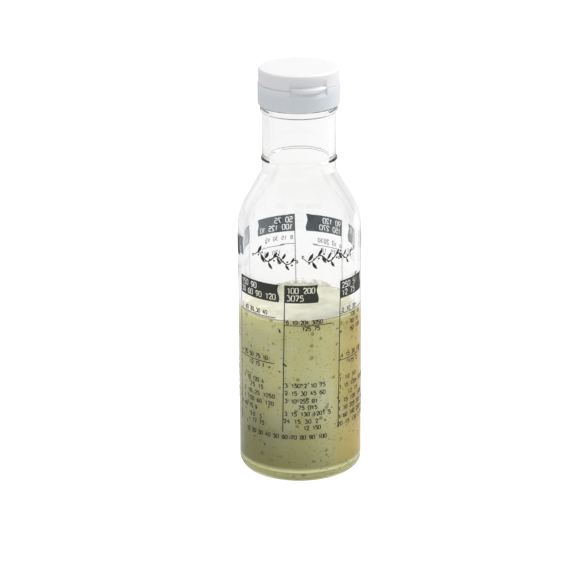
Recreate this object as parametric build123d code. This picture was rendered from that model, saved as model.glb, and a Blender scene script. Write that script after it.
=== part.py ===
from build123d import *
import math
import os

# A glass bottle for pouring salad dressing, with a screw-on plastic closure whose lid flips open.
# Millimetres, +Z up. The origin is on the bottle's axis, on the plane that it stands on.
# The closure's thumb recess faces -Y and its hinge is at the back, towards +Y.

# glass bottle, outside
body_radius = 31.0
heel_radius = 5.0            # round between the side and the base
bearing_width = 2.0          # flat ring that the bottle stands on
punt_height = 3.0            # push-up of the base, at its middle
shoulder_height = 126.6      # where the straight side ends
shoulder_radius = 30.0       # round between the side and the cone
shoulder_angle = 30.0        # the cone's slope from upright, in degrees
neck_fillet = 12.0           # hollow round between the cone and the neck
neck_step = 0.8              # the neck's radius beyond the thread's root
neck_length = 27.52          # from the end of the shoulder up to the transfer bead
neck_ring_rise = 3.6         # from the end of the shoulder up to the thin ring's middle
neck_ring_proud = 1.0
neck_ring_width = 3.0
bead_width = 2.8             # transfer bead, under the closure
bead_proud = 1.0
bead_round = 0.6

# glass bottle, inside
side_wall = 3.0
base_wall = 3.6
inner_corner = 5.0
finish_wall = 2.6            # at the thread's root, around the bore

# screw finish: a single-start thread, six turns to the inch
thread_pitch = 25.4 / 6
thread_turns = 1.0
thread_radius = 18.8         # crest of the glass thread
thread_depth = 1.2
thread_root_width = 2.2
thread_crest_width = 1.1
thread_drop = 2.0            # from the land down to the middle of the thread's upper end
thread_sunk = 0.4            # how far a thread's foot reaches into the wall that carries it
land_round = 0.8             # outer edge of the sealing land at the mouth

# dressing in the bottle
fill_height = 86.9
dressing_gap = 0.1           # from the glass

# liner under the closure's deck
liner_thickness = 0.9
liner_bore_step = 0.2        # the liner's hole beyond the bottle's bore, in radius
liner_room_step = 0.8        # the closure's room for the liner beyond the glass thread's root
liner_play = 0.2             # radial, around the liner

# closure base
cap_wall = 1.35              # outside the plastic thread's root
cap_bottom_gap = 0.5         # above the transfer bead
cap_bottom_round = 0.8
cap_edge_round = 0.25
thread_play = 0.25           # radial, between the glass and the plastic threads
cap_thread_margin = 0.26     # from the closure's bottom up to its thread
cap_thread_turns = 1.0
cap_thread_lead = 60.0       # degrees from the glass thread's lower end to the plastic one's
cap_thread_root_width = 1.8
cap_thread_crest_width = 0.9
deck_thickness = 1.3
seam_above_deck_foot = 1.1   # from the deck's underside up to the seam between base and lid
collar_play = 0.3            # radial, between the collar and the lid
collar_wall = 1.2
collar_height = 1.1          # above the seam
spout_bore = 4.2
spout_wall = 1.1
spout_head_room = 2.0        # from the spout's rim up to the lid's ceiling

# flip lid
lid_step = 0.4               # the lid's radius inside the base's
lid_height = 7.7             # from the seam to the top
lid_wall = 1.6
lid_top_wall = 1.5
lid_round = 1.0
lid_gap = 0.15               # seam line between base and lid
plug_play = 0.08             # radial, where the plug enters the spout
plug_wall = 0.7
plug_depth = 1.6             # how far the plug reaches into the spout
plug_taper = 0.35            # radial, over the depth

# thumb recess at the front, across the seam
recess_width = 18.6
recess_depth = 0.9
recess_rise = 2.8            # above the seam, in the lid
recess_drop = 3.9            # below the seam, in the base
recess_sill = 1.3            # upright part below the seam, above the sloping sill
tab_thickness = 0.95
tab_proud = 0.9              # beyond the lid's side
tab_radius = 15.0

# hinge at the back: two living hinges with a snap strap between them
film_thickness = 0.3
film_radius = 0.35           # of the folded film's middle line
hinge_width = 14.0           # over both hinge films
strap_width = 4.4
strap_thickness = 0.5
strap_radius = 1.4           # of the bowed strap's middle line
strap_clearance = 0.6        # between the strap and the lugs on either side
lug_proud = 0.5              # of the hinge lugs, beyond the base's side
lug_height = 1.8
pad_height = 1.7
sunk = 0.8                   # how far the lugs and pads reach into the walls

# radii that follow
bottle_thread_root = thread_radius - thread_depth
neck_radius = bottle_thread_root + neck_step
bore_radius = bottle_thread_root - finish_wall
cap_thread_root = thread_radius + thread_play
cap_thread_crest = bottle_thread_root + thread_play
cap_radius = cap_thread_root + cap_wall
liner_room = bottle_thread_root + liner_room_step
lid_radius = cap_radius - lid_step
collar_radius = lid_radius - lid_wall - collar_play

# heights that follow, from the shoulder up
slope = math.radians(shoulder_angle)
cone_reach = body_radius - neck_radius - (shoulder_radius + neck_fillet) * (1 - math.cos(slope))
shoulder_rise = (shoulder_radius + neck_fillet) * math.sin(slope) + cone_reach / math.tan(slope)
neck_foot_height = shoulder_height + shoulder_rise
neck_ring_height = neck_foot_height + neck_ring_rise
bead_height = neck_foot_height + neck_length
bead_top = bead_height + bead_width
cap_bottom = bead_top + cap_bottom_gap
cap_thread_low = cap_bottom + cap_thread_margin + cap_thread_root_width / 2
thread_low = cap_thread_low + thread_pitch * (0.5 - cap_thread_lead / 360)
land_height = thread_low + thread_pitch * thread_turns + thread_drop
deck_foot = land_height + liner_thickness
deck_top = deck_foot + deck_thickness
seam_height = deck_foot + seam_above_deck_foot
lid_foot = seam_height + lid_gap
lid_top = seam_height + lid_height
lid_ceiling = lid_top - lid_top_wall
spout_top = lid_ceiling - spout_head_room

# the hinge's pivot
lug_face = cap_radius + lug_proud
hinge_axis_y = lug_face + film_radius * math.pi / 2

end_shift = 0.01             # keeps a cutter's end clear of the face that it passes


def arc_between(start, end, radius, bulge):
    """A round from start to end; bulge is +1 where it bows to the left of that way, else -1."""
    middle_x = (start[0] + end[0]) / 2
    middle_y = (start[1] + end[1]) / 2
    chord_x = end[0] - start[0]
    chord_y = end[1] - start[1]
    chord = math.hypot(chord_x, chord_y)
    rise = radius - math.sqrt(max(radius**2 - chord**2 / 4, 0))
    top_x = middle_x - bulge * rise * chord_y / chord
    top_y = middle_y + bulge * rise * chord_x / chord
    return ThreePointArc(start, (top_x, top_y), end)


def turned(edges):
    """The solid that a closed outline of (radius, height) edges sweeps around the bottle's axis."""
    outline = make_face(edges)
    return revolve(Plane.XZ * outline, Axis.Z)


def polygon(points):
    """Straight edges through the points and back to the first."""
    ends = points[1:] + points[:1]
    return [Line(start, end) for start, end in zip(points, ends)]


def shoulder(side_radius, top_radius, side_round, top_round):
    """Edges from the straight side, over the cone, to the neck, and the point where they end."""
    start = (side_radius, shoulder_height)
    over = side_round * (1 - math.cos(slope))
    cone_foot = (side_radius - over, shoulder_height + side_round * math.sin(slope))
    cone_head_radius = top_radius + top_round * (1 - math.cos(slope))
    cone_rise = (cone_foot[0] - cone_head_radius) / math.tan(slope)
    cone_head = (cone_head_radius, cone_foot[1] + cone_rise)
    end = (top_radius, cone_head[1] + top_round * math.sin(slope))
    edges = [
        arc_between(start, cone_foot, side_round, -1),
        Line(cone_foot, cone_head),
        arc_between(cone_head, end, top_round, 1),
    ]
    return edges, end


def helical_ridge(foot_radius, crest_radius, foot_width, crest_width, low_height, turns, lead):
    """A right-handed thread ridge whose lower end is at low_height, lead degrees around."""
    outward = 1 if crest_radius > foot_radius else -1
    sunk_radius = foot_radius - outward * thread_sunk
    rise = thread_pitch * turns
    path = Helix(thread_pitch, rise, foot_radius, center=(0, 0, low_height))
    section = Plane.XZ * make_face(
        polygon(
            [
                (sunk_radius, low_height - foot_width / 2),
                (foot_radius, low_height - foot_width / 2),
                (crest_radius, low_height - crest_width / 2),
                (crest_radius, low_height + crest_width / 2),
                (foot_radius, low_height + foot_width / 2),
                (sunk_radius, low_height + foot_width / 2),
            ]
        )
    )
    return Rot(0, 0, lead) * sweep(section, path=path, is_frenet=True)


def sector(inner_radius, outer_radius, low_height, high_height, width):
    """A block of a ring, centred on the front, as wide as width at its outer radius."""
    half_angle = math.degrees(math.asin(width / 2 / outer_radius))
    ring = Plane.XZ * make_face(
        polygon(
            [
                (inner_radius, low_height),
                (outer_radius, low_height),
                (outer_radius, high_height),
                (inner_radius, high_height),
            ]
        )
    )
    return Rot(0, 0, -90 - half_angle) * revolve(ring, Axis.Z, 2 * half_angle)


def block(low, high):
    """A box from its lowest corner to its highest."""
    size = [b - a for a, b in zip(low, high)]
    middle = [(a + b) / 2 for a, b in zip(low, high)]
    return Pos(*middle) * Box(*size)


def bottle_outside():
    """The glass filled solid, without its thread."""
    heel_foot = body_radius - heel_radius
    bearing_inner = heel_foot - bearing_width
    punt_radius = (bearing_inner**2 + punt_height**2) / 2 / punt_height
    shoulder_edges, neck_foot = shoulder(body_radius, neck_radius, shoulder_radius, neck_fillet)
    ring_foot = (neck_radius, neck_ring_height - neck_ring_width / 2)
    ring_crest = (neck_radius + neck_ring_proud, neck_ring_height)
    ring_head = (neck_radius, neck_ring_height + neck_ring_width / 2)
    bead_radius = neck_radius + bead_proud
    bead_foot = (neck_radius, bead_height)
    bead_low = (bead_radius - bead_round, bead_height)
    bead_side_low = (bead_radius, bead_height + bead_round)
    bead_side_high = (bead_radius, bead_top - bead_round)
    bead_high = (bead_radius - bead_round, bead_top)
    finish_foot = (bottle_thread_root, bead_top)
    finish_head = (bottle_thread_root, land_height - land_round)
    land_outer = (bottle_thread_root - land_round, land_height)
    return turned(
        [
            arc_between((0, punt_height), (bearing_inner, 0), punt_radius, 1),
            Line((bearing_inner, 0), (heel_foot, 0)),
            arc_between((heel_foot, 0), (body_radius, heel_radius), heel_radius, -1),
            Line((body_radius, heel_radius), (body_radius, shoulder_height)),
            *shoulder_edges,
            Line(neck_foot, ring_foot),
            ThreePointArc(ring_foot, ring_crest, ring_head),
            Line(ring_head, bead_foot),
            Line(bead_foot, bead_low),
            arc_between(bead_low, bead_side_low, bead_round, -1),
            Line(bead_side_low, bead_side_high),
            arc_between(bead_side_high, bead_high, bead_round, -1),
            Line(bead_high, finish_foot),
            Line(finish_foot, finish_head),
            arc_between(finish_head, land_outer, land_round, -1),
            Line(land_outer, (0, land_height)),
            Line((0, land_height), (0, punt_height)),
        ]
    )


def bottle_inside(gap):
    """The room inside the glass, smaller all round by gap, and open through the mouth."""
    side = body_radius - side_wall - gap
    bore = bore_radius - gap
    floor_edge = base_wall + gap
    floor_middle = punt_height + floor_edge
    corner = inner_corner - gap
    floor_radius = ((side - corner) ** 2 + punt_height**2) / 2 / punt_height
    shoulder_edges, neck_foot = shoulder(
        side, bore, shoulder_radius - side_wall - gap, neck_fillet + side_wall + gap
    )
    return turned(
        [
            arc_between((0, floor_middle), (side - corner, floor_edge), floor_radius, 1),
            arc_between((side - corner, floor_edge), (side, floor_edge + corner), corner, -1),
            Line((side, floor_edge + corner), (side, shoulder_height)),
            *shoulder_edges,
            Line(neck_foot, (bore, land_height + end_shift)),
            Line((bore, land_height + end_shift), (0, land_height + end_shift)),
            Line((0, land_height + end_shift), (0, floor_middle)),
        ]
    )


def glass_bottle():
    """The blown bottle: one wall from the base to the threaded mouth."""
    thread = helical_ridge(
        bottle_thread_root,
        thread_radius,
        thread_root_width,
        thread_crest_width,
        thread_low,
        thread_turns,
        0,
    )
    return bottle_outside() + thread - bottle_inside(0)


def dressing():
    """What fills the bottle up to the fill height, just clear of the glass."""
    reach = body_radius
    below = block((-reach, -reach, 0), (reach, reach, fill_height))
    return bottle_inside(dressing_gap) & below


def sealing_liner():
    """The soft washer between the mouth's land and the closure's deck."""
    inner = bore_radius + liner_bore_step
    outer = liner_room - liner_play
    return turned(
        polygon(
            [
                (inner, land_height),
                (outer, land_height),
                (outer, deck_foot),
                (inner, deck_foot),
            ]
        )
    )


def cap_shell():
    """The closure base's skirt, deck, collar and spout, without thread, recess or hinge."""
    skirt_inner = cap_thread_root
    skirt_head = land_height - land_round
    collar_inner = collar_radius - collar_wall
    spout_outer = spout_bore + spout_wall
    outline = [
        Line((skirt_inner, cap_bottom), (cap_radius - cap_bottom_round, cap_bottom)),
        arc_between(
            (cap_radius - cap_bottom_round, cap_bottom),
            (cap_radius, cap_bottom + cap_bottom_round),
            cap_bottom_round,
            -1,
        ),
        Line((cap_radius, cap_bottom + cap_bottom_round), (cap_radius, seam_height - cap_edge_round)),
        arc_between(
            (cap_radius, seam_height - cap_edge_round),
            (cap_radius - cap_edge_round, seam_height),
            cap_edge_round,
            -1,
        ),
    ]
    corners = [
        (cap_radius - cap_edge_round, seam_height),
        (collar_radius, seam_height),
        (collar_radius, seam_height + collar_height),
        (collar_inner, seam_height + collar_height),
        (collar_inner, deck_top),
        (spout_outer, deck_top),
        (spout_outer, spout_top),
        (spout_bore, spout_top),
        (spout_bore, deck_foot),
        (liner_room, deck_foot),
        (liner_room, skirt_head),
        (skirt_inner, skirt_head),
        (skirt_inner, cap_bottom),
    ]
    outline += [Line(start, end) for start, end in zip(corners, corners[1:])]
    return turned(outline)


def base_recess():
    """The thumb's room in the closure base: upright below the seam, then a sloping sill."""
    depth_radius = cap_radius - recess_depth
    sill = seam_height - recess_sill
    foot = seam_height - recess_drop
    outside = cap_radius + recess_depth
    half_angle = math.degrees(math.asin(recess_width / 2 / cap_radius))
    section = Plane.XZ * make_face(
        polygon(
            [
                (depth_radius, seam_height + end_shift),
                (depth_radius, sill),
                (cap_radius, foot),
                (outside, foot),
                (outside, seam_height + end_shift),
            ]
        )
    )
    return Rot(0, 0, -90 - half_angle) * revolve(section, Axis.Z, 2 * half_angle)


def hinge_lugs(low, high):
    """The two ledges, left and right of the strap, that carry the hinge films."""
    inner_x = strap_width / 2 + strap_clearance
    foot_y = math.sqrt(cap_radius**2 - (hinge_width / 2) ** 2) - sunk
    right = block((inner_x, foot_y, low), (hinge_width / 2, lug_face, high))
    return right + mirror(right, Plane.YZ)


def strap_pad(low, high):
    """The ledge that carries one end of the snap strap."""
    foot_y = cap_radius - sunk
    return block((-strap_width / 2, foot_y, low), (strap_width / 2, lug_face, high))


def cap_base():
    """The closure's threaded base with its deck, spout, thumb recess and half of the hinge."""
    thread = helical_ridge(
        cap_thread_root,
        cap_thread_crest,
        cap_thread_root_width,
        cap_thread_crest_width,
        cap_thread_low,
        cap_thread_turns,
        cap_thread_lead,
    )
    film_foot = seam_height - film_radius + film_thickness / 2
    strap_foot = seam_height - strap_radius + strap_thickness / 2
    lugs = hinge_lugs(film_foot - lug_height, film_foot)
    pad = strap_pad(strap_foot - pad_height, strap_foot)
    return cap_shell() + thread + lugs + pad - base_recess()


def lid_shell():
    """The flip lid's top, side and tubular sealing plug, without tab, recess or hinge."""
    inner = lid_radius - lid_wall
    plug_outer = spout_bore - plug_play
    plug_inner = plug_outer - plug_taper - plug_wall
    plug_foot = spout_top - plug_depth
    top_edge = (lid_radius - lid_round, lid_top)
    side_head = (lid_radius, lid_top - lid_round)
    corners = [
        side_head,
        (lid_radius, lid_foot),
        (inner, lid_foot),
        (inner, lid_ceiling),
        (plug_outer, lid_ceiling),
        (plug_outer, spout_top),
        (plug_outer - plug_taper, plug_foot),
        (plug_inner, plug_foot),
        (plug_inner, lid_ceiling),
        (0, lid_ceiling),
        (0, lid_top),
        top_edge,
    ]
    outline = [Line(start, end) for start, end in zip(corners, corners[1:])]
    outline.append(arc_between(top_edge, side_head, lid_round, 1))
    return turned(outline)


def lid_recess():
    """The thumb's room in the lid's side, above the tab."""
    return sector(
        lid_radius - recess_depth,
        lid_radius + recess_depth,
        lid_foot + tab_thickness,
        seam_height + recess_rise,
        recess_width,
    )


def thumb_tab():
    """The crescent ledge along the lid's front edge that a thumb lifts."""
    middle_y = tab_radius - lid_radius - tab_proud
    disc = Cylinder(tab_radius, tab_thickness, align=(Align.CENTER, Align.CENTER, Align.MIN))
    disc = Pos(0, middle_y, lid_foot) * disc
    inner = lid_radius - lid_wall / 2
    room = sector(inner, lid_radius + 2 * tab_proud, lid_foot, lid_foot + tab_thickness, recess_width)
    return disc & room


def flip_lid():
    """The lid with its plug, thumb tab and half of the hinge."""
    film_head = seam_height + film_radius - film_thickness / 2
    strap_head = seam_height + strap_radius - strap_thickness / 2
    lugs = hinge_lugs(film_head, film_head + lug_height)
    pad = strap_pad(strap_head, strap_head + pad_height)
    return lid_shell() - lid_recess() + thumb_tab() + lugs + pad


def folded_strip(middle_radius, thickness, low_x, high_x):
    """A thin strip bowed half round the seam, behind the lugs."""
    outer = Cylinder(middle_radius + thickness / 2, high_x - low_x)
    inner = Cylinder(middle_radius - thickness / 2, high_x - low_x)
    ring = Pos((low_x + high_x) / 2, lug_face, seam_height) * Rot(0, 90, 0) * (outer - inner)
    reach = middle_radius + thickness
    behind = block(
        (low_x, lug_face, seam_height - reach),
        (high_x, lug_face + reach, seam_height + reach),
    )
    return ring & behind


def hinge_film_right():
    """The living hinge on the +X side of the strap."""
    inner_x = strap_width / 2 + strap_clearance
    return folded_strip(film_radius, film_thickness, inner_x, hinge_width / 2)


def hinge_film_left():
    """The living hinge on the -X side of the strap."""
    return mirror(hinge_film_right(), Plane.YZ)


def snap_strap():
    """The bowed strap that snaps the lid open or shut."""
    return folded_strip(strap_radius, strap_thickness, -strap_width / 2, strap_width / 2)


pieces = {
    "glass_bottle": glass_bottle,
    "dressing": dressing,
    "sealing_liner": sealing_liner,
    "cap_base": cap_base,
    "flip_lid": flip_lid,
    "hinge_film_left": hinge_film_left,
    "hinge_film_right": hinge_film_right,
    "snap_strap": snap_strap,
}

os.makedirs("parts", exist_ok=True)
for node, make in pieces.items():
    export_step(make(), f"parts/{node}.step")
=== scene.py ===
import math
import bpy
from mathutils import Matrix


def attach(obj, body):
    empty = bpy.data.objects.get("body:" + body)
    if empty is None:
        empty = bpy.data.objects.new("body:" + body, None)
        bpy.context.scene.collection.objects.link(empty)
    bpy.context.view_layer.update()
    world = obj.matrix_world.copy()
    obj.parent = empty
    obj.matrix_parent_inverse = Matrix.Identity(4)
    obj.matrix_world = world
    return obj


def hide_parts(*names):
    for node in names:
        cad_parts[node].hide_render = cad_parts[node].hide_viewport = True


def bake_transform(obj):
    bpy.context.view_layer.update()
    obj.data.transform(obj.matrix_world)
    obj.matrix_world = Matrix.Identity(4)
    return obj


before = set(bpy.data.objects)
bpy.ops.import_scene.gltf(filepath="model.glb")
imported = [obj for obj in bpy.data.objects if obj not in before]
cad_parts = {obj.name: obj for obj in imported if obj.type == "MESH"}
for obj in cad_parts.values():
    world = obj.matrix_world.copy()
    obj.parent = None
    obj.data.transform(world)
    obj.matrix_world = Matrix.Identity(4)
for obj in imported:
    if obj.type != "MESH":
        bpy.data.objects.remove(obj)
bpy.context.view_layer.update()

from types import SimpleNamespace

import bmesh
import bpy
import numpy as np
from mathutils import Matrix, Vector

mm = 0.001
print("stage 1: the packed frame is loaded")


def named(table):
    # the same values, read as table.name
    return SimpleNamespace(**table)


def roundedPath(corners, closed=False, steps=10):
    # A path of straight runs whose corners (x, z, round) are arcs tangent to both runs:
    # each arc starts round * tan(turn / 2) before its corner and turns in equal steps.
    corners = np.array(corners, float)
    if closed:
        corners = np.vstack([corners[-1], corners, corners[0]])
    place, size = corners[:, :2], corners[:, 2]
    way = np.diff(place, axis=0)
    way /= np.linalg.norm(way, axis=1)[:, None]
    before, after = way[:-1], way[1:]
    cross = before[:, 0] * after[:, 1] - before[:, 1] * after[:, 0]
    turn = np.arctan2(cross, (before * after).sum(1))
    start = place[1:-1] - before * (size[1:-1] * np.tan(abs(turn) / 2))[:, None]
    side = np.stack([-before[:, 1], before[:, 0]], 1) * np.sign(turn)[:, None]
    middle = start + side * size[1:-1, None]
    angle = turn[:, None] * np.linspace(0, 1, steps + 1)
    spoke = (start - middle)[:, None]
    arcs = np.stack([spoke[..., 0] * np.cos(angle) - spoke[..., 1] * np.sin(angle),
                     spoke[..., 0] * np.sin(angle) + spoke[..., 1] * np.cos(angle)], -1)
    arcs = (arcs + middle[:, None]).reshape(-1, 2)
    path = arcs if closed else np.vstack([place[:1], arcs, place[-1:]])
    gap = np.linalg.norm(np.diff(path, axis=0), axis=1)
    return path[np.r_[True, gap > 1e-5]]


def splitLong(path, longest):
    # More points on a path: a run longer than longest is cut into equal parts.
    # longest is a length, or one for each run.
    run = np.linalg.norm(np.diff(path, axis=0), axis=1)
    parts = np.maximum(np.ceil(run / longest), 1).astype(int)
    owner = np.repeat(np.arange(len(run)), parts)
    share = (np.arange(parts.sum()) - np.repeat(np.cumsum(parts) - parts, parts)) / parts[owner]
    inner = path[owner] + (path[owner + 1] - path[owner]) * share[:, None]
    return np.vstack([inner, path[-1:]])


def smooth(value, low, high):
    # Rises from 0 at low to 1 at high as 3 t^2 - 2 t^3.
    t = np.clip((value - low) / (high - low), 0, 1)
    return t * t * (3 - 2 * t)


def windowOf(value, low, high, soft):
    # 1 between low and high, falling to 0 over soft on both sides of each.
    return smooth(value, low - soft, low + soft) * (1 - smooth(value, high - soft, high + soft))


def ringAngles(count, edges=(), spread=0.0, extra=5):
    # Angles all round the axis, with extra ones close to each edge.
    angles = np.linspace(0, 2 * np.pi, count, endpoint=False)
    for edge in edges:
        near = edge + np.linspace(-spread, spread, extra)
        angles = angles[abs((angles - edge + np.pi) % (2 * np.pi) - np.pi) > spread * 1.4]
        angles = np.r_[angles, near % (2 * np.pi)]
    return np.sort(angles)


def gridFaces(rows, columns, wrapRows=False, wrapColumns=True):
    # Four-sided faces between the neighbours of a rows by columns grid.
    index = np.arange(rows * columns).reshape(rows, columns)
    if wrapRows:
        index = np.vstack([index, index[:1]])
    if wrapColumns:
        index = np.hstack([index, index[:, :1]])
    corners = (index[:-1, :-1], index[:-1, 1:], index[1:, 1:], index[1:, :-1])
    return np.stack(corners, -1).reshape(-1, 4)


def placed(name, data):
    # An object in the scene, at the origin, for new data.
    thing = bpy.data.objects.new(name, data)
    bpy.context.scene.collection.objects.link(thing)
    return thing


def newPiece(name, points, faces, material, body, node=None, weld=True):
    # A mesh from arrays, in millimetres, in the place of a node of the frame if one is given. Its
    # faces are turned outward by the sign of the volume: the sum of each corner dotted with the
    # cross product of the next two.
    points = points.reshape(-1, 3)
    a, b, c, d = (points[faces[:, k]] for k in range(4))
    volume = (a * np.cross(b, c)).sum() + (a * np.cross(c, d)).sum()
    if volume < 0:
        faces = faces[:, ::-1]
    mesh = bpy.data.meshes.new(name)
    mesh.vertices.add(len(points))
    mesh.vertices.foreach_set("co", (points * mm).astype(np.float32).ravel())
    mesh.loops.add(faces.size)
    mesh.loops.foreach_set("vertex_index", faces.ravel().astype(np.int32))
    mesh.polygons.add(len(faces))
    mesh.polygons.foreach_set("loop_start", np.arange(0, faces.size, 4, dtype=np.int32))
    mesh.polygons.foreach_set("use_smooth", np.ones(len(faces), bool))
    mesh.update(calc_edges=True)
    if weld:
        shape = bmesh.new()
        shape.from_mesh(mesh)
        bmesh.ops.remove_doubles(shape, verts=shape.verts, dist=2e-7)
        bmesh.ops.dissolve_degenerate(shape, edges=shape.edges, dist=1e-7)
        shape.to_mesh(mesh)
        shape.free()
    mesh.validate()
    mesh.materials.append(material)
    piece = placed(name, mesh)
    if body:
        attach(piece, body)
    if node:
        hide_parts(node)
    return piece


def around(radius, angle, height):
    # The point x = radius sin(angle), y = -radius cos(angle), z = height: angles start at the front.
    x = radius * np.sin(angle)
    return np.stack([x, -radius * np.cos(angle), np.broadcast_to(height, x.shape)], -1)


def turnedPiece(name, radius, height, angle, material, body, node=None, wrapRows=False):
    # A turned surface: a row of points all round for each point of a profile. A row at radius 0
    # closes to a pole.
    points = around(radius, angle, height)
    newPiece(name, points, gridFaces(*points.shape[:2], wrapRows), material, body, node)


def sectionLoop(width, depth, edge, steps=4):
    # A rounded rectangle, width by depth, as a closed loop of (u, v).
    u, v = width / 2, depth / 2
    edge = min(edge, 0.98 * min(u, v))
    return roundedPath([(-u, -v, edge), (u, -v, edge), (u, v, edge), (-u, v, edge)], True, steps)


def blockShape(low, high, edge):
    # A block whose edges are all rounded: a rounded rectangle in x and z, carried along y, and
    # drawn in near both ends by edge * (1 - cos t) while y runs edge * sin t.
    low, high = np.array(low, float), np.array(high, float)
    middle, size = (low + high) / 2, high - low
    turn = np.linspace(0, np.pi / 2, 5)
    inset = np.r_[size[[0, 2]].min() / 2, edge * (1 - np.sin(turn))]
    inset = np.r_[inset, inset[::-1]]
    along = np.r_[0, edge * (1 - np.cos(turn))]
    along = np.r_[low[1] + along, high[1] - along[::-1]]
    loop = sectionLoop(size[0], size[2], edge * 1.01)
    shrink = 1 - np.stack([inset / (size[0] / 2), inset / (size[2] / 2)], -1)
    section = loop[None] * np.clip(shrink, 0, 1)[:, None]
    points = np.stack([middle[0] + section[..., 0], along[:, None] + 0 * section[..., 0],
                       middle[2] + section[..., 1]], -1)
    return points.reshape(-1, 3), gridFaces(*section.shape[:2])


def joined(shapes):
    # Several (points, faces) as one.
    start = np.cumsum([0] + [len(points) for points, _ in shapes[:-1]])
    points = np.vstack([points for points, _ in shapes])
    return points, np.vstack([faces + k for (_, faces), k in zip(shapes, start)])


class Wire:
    # One shader socket; arithmetic on wires adds Math nodes.
    def __init__(self, tree, socket=None):
        self.tree, self.socket = tree, socket

    def node(self, kind, settings=None, values=None, output=0):
        # any node: its type, its settings, a ramp's stops, the values or links of its sockets
        made = self.tree.nodes.new(kind)
        for key, value in (settings or {}).items():
            if key == "stops":
                ramp = made.color_ramp.elements
                while len(ramp) < len(value):
                    ramp.new(0.5)
                for stop, (place, colour) in zip(ramp, value):
                    stop.position = place
                    stop.color = colour
            else:
                setattr(made, key, value)
        for key, value in (values or {}).items():
            if isinstance(value, Wire):
                self.tree.links.new(value.socket, made.inputs[key])
            else:
                made.inputs[key].default_value = value
        return Wire(self.tree, made.outputs[output] if len(made.outputs) else None)

    def output(self, name):
        # another output of the node that this wire comes from
        return Wire(self.tree, self.socket.node.outputs[name])

    def maths(self, operation, *terms):
        return self.node("ShaderNodeMath", {"operation": operation}, dict(enumerate(terms)))

    def __add__(self, other):
        return self.maths("ADD", self, other)

    def __sub__(self, other):
        return self.maths("SUBTRACT", self, other)

    def __rsub__(self, other):
        return self.maths("SUBTRACT", other, self)

    def __mul__(self, other):
        return self.maths("MULTIPLY", self, other)

    __radd__, __rmul__ = __add__, __mul__

    def __gt__(self, other):
        return self.maths("GREATER_THAN", self, other)

    def __lt__(self, other):
        return self.maths("LESS_THAN", self, other)

    def step(self, low, high):
        # 0 below low, 1 above high, smooth between
        return self.node("ShaderNodeMapRange", {"interpolation_type": "SMOOTHSTEP"},
                         {"Value": self, "From Min": low, "From Max": high})

    def mixed(self, one, other):
        # from one colour to another, by this value
        return self.node("ShaderNodeMix", {"data_type": "RGBA"}, {0: self, 6: one, 7: other}, 2)

    def tinted(self, colour, share):
        # this colour, turned towards another by share
        return share.mixed(self, colour)

    def vector(self, operation, other, output=0):
        return self.node("ShaderNodeVectorMath", {"operation": operation}, {0: self, 1: other},
                         output)

    def stretched(self, scale):
        return self.vector("MULTIPLY", scale)

    def noise(self, scale, detail=2.0, roughness=0.5, output=0):
        return self.node("ShaderNodeTexNoise", None, {
            "Vector": self, "Scale": scale, "Detail": detail, "Roughness": roughness}, output)

    def cells(self, scale):
        return self.node("ShaderNodeTexVoronoi", None, {"Vector": self, "Scale": scale})

    def part(self, axis):
        # its X, Y or Z, as axis is 0, 1 or 2
        return self.node("ShaderNodeSeparateXYZ", None, {0: self}, axis)

    def bumps(self, strength, distance):
        return self.node("ShaderNodeBump", None, {
            "Strength": strength, "Distance": distance, "Height": self})


def newMaterial(name):
    # An empty material, and the piece's own coordinates as a wire.
    material = bpy.data.materials.new(name)
    material.use_nodes = True
    material.node_tree.nodes.clear()
    return material, Wire(material.node_tree).node("ShaderNodeTexCoord", output=3)


def painted(material, body, rough, more={}):
    # Ends a material in one Principled surface.
    start = Wire(material.node_tree)
    shader = start.node("ShaderNodeBsdfPrincipled", None, {
        "Base Color": body, "Roughness": rough, **more})
    start.node("ShaderNodeOutputMaterial", None, {"Surface": shader})
    return material


def colour(red, green, blue):
    # A colour written as 0 to 255 display values, as linear light.
    value = np.array([red, green, blue]) / 255
    linear = np.where(value <= 0.04045, value / 12.92, ((value + 0.055) / 1.055) ** 2.4)
    return (*linear.tolist(), 1.0)


bottleGlass = {
    "refraction": 1.5,
    "face": (0.997, 0.994, 1.0, 1.0),
    "tint": (0.73, 0.76, 0.66, 1.0),   # what the wall leaves after some way through it
    "tintDensity": 13.0,
}


def glassMaterial():
    # Clear glass whose wall tints what passes through it; lamps shine through it unbent.
    g = named(bottleGlass)
    material, place = newMaterial("bottleGlassClear")
    glass = place.node("ShaderNodeBsdfPrincipled", None, {
        "Base Color": g.face, "Roughness": 0.0, "IOR": g.refraction, "Transmission Weight": 1.0})
    lampRay = place.node("ShaderNodeLightPath", output=1)
    clear = place.node("ShaderNodeBsdfTransparent")
    surface = place.node("ShaderNodeMixShader", None, {0: lampRay, 1: glass, 2: clear})
    inside = place.node("ShaderNodeVolumeAbsorption", None, {"Color": g.tint, "Density": g.tintDensity})
    place.node("ShaderNodeOutputMaterial", None, {"Surface": surface, "Volume": inside})
    return material


dressingLook = {
    "main": colour(228, 224, 160),
    "pale": colour(230, 232, 190),
    "deep": colour(208, 206, 138),
    # painted reflection: a warm yellow for the +X side, as of something yellow standing there
    "warm": colour(188, 162, 68),
    # painted shade: a dark olive for low down towards -X
    "shade": colour(139, 137, 78),
    "skin": colour(222, 214, 144),     # the yellower line where it meets the air
    "froth": colour(252, 248, 206),
    # painted light: near white for the lowest few millimetres, as if lit from below
    "base": colour(254, 254, 196),
    "herb": colour(108, 116, 60),
    "dust": colour(126, 126, 72),
    "top": colour(196, 195, 166),
    "foam": colour(215, 215, 195),
    # partly painted light: the film's cream paled to near white, for light shining through it
    "film": colour(252, 250, 238),
    # spots of herb: cells in a metre, those left out, how soft, how strong
    "specks": [(270.0, 0.72, (0.10, 0.38), 0.7), (560.0, 0.66, (0.08, 0.34), 0.55)],
}


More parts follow.
